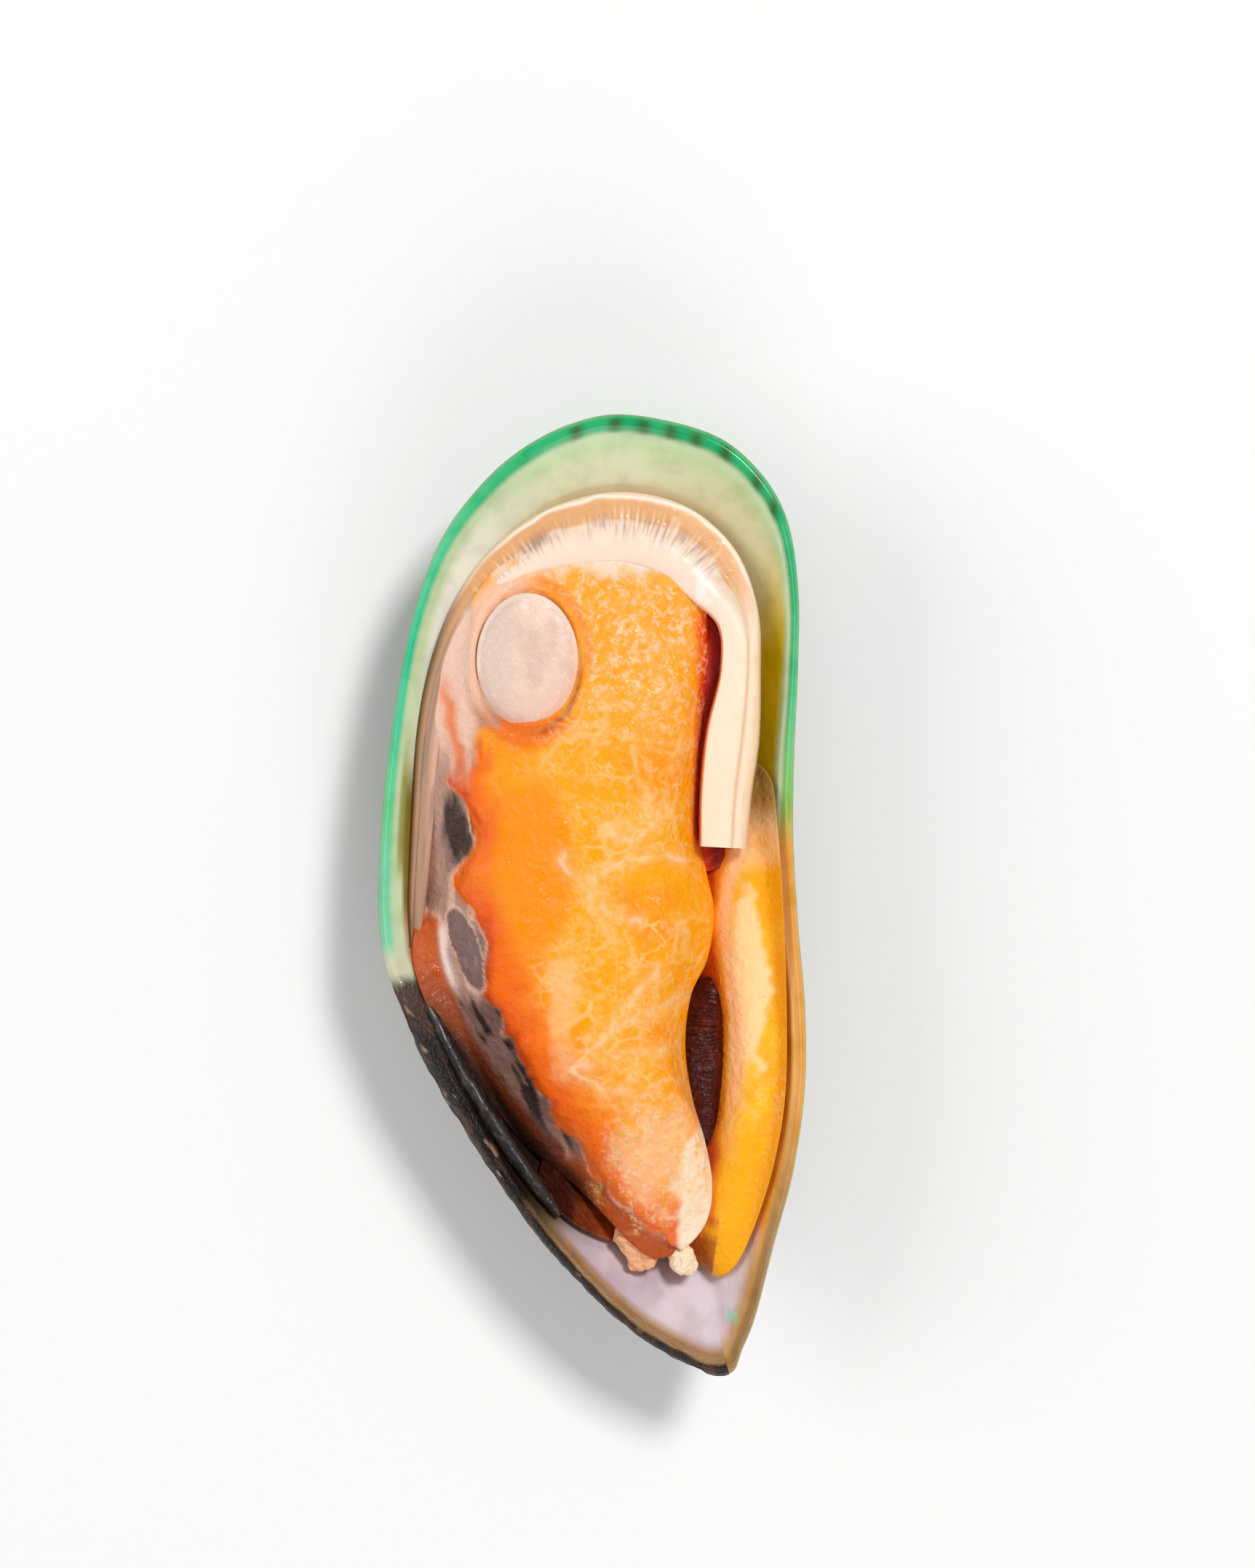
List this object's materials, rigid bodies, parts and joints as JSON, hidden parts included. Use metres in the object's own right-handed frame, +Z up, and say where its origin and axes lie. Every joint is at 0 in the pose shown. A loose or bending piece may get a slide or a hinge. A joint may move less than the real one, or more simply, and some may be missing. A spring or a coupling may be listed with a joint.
{
  "type": "mussel on the half shell",
  "caption": "Half of a green-lipped mussel lying on its convex back, the pearly bowl still holding the cooked meat with its mantle lobes, muscle and foot",
  "frame": {"origin": "centre of the bounding box in plan, on the surface that the shell lies on", "axes": "+Y from the pointed beak to the rounded posterior end, +Z up out of the open side of the shell, +X to the byssus gape side"},
  "size_m": [0.0444, 0.0999, 0.0192],
  "materials": {
    "shell": "pearly inside, green lip, dark glossy skin outside",
    "ligament": "dark, horny, half gloss",
    "mantle": "wet cooked flesh, veined and speckled",
    "muscle": "wet, pale, cut across",
    "foot": "wet, very dark"
  },
  "bodies": {
    "root": {"shell": "shell", "hinge_ligament": "ligament", "near_mantle_lobe": "mantle", "far_mantle_lobe": "mantle", "adductor_muscle": "muscle", "foot": "foot"}
  },
  "joints": []
}
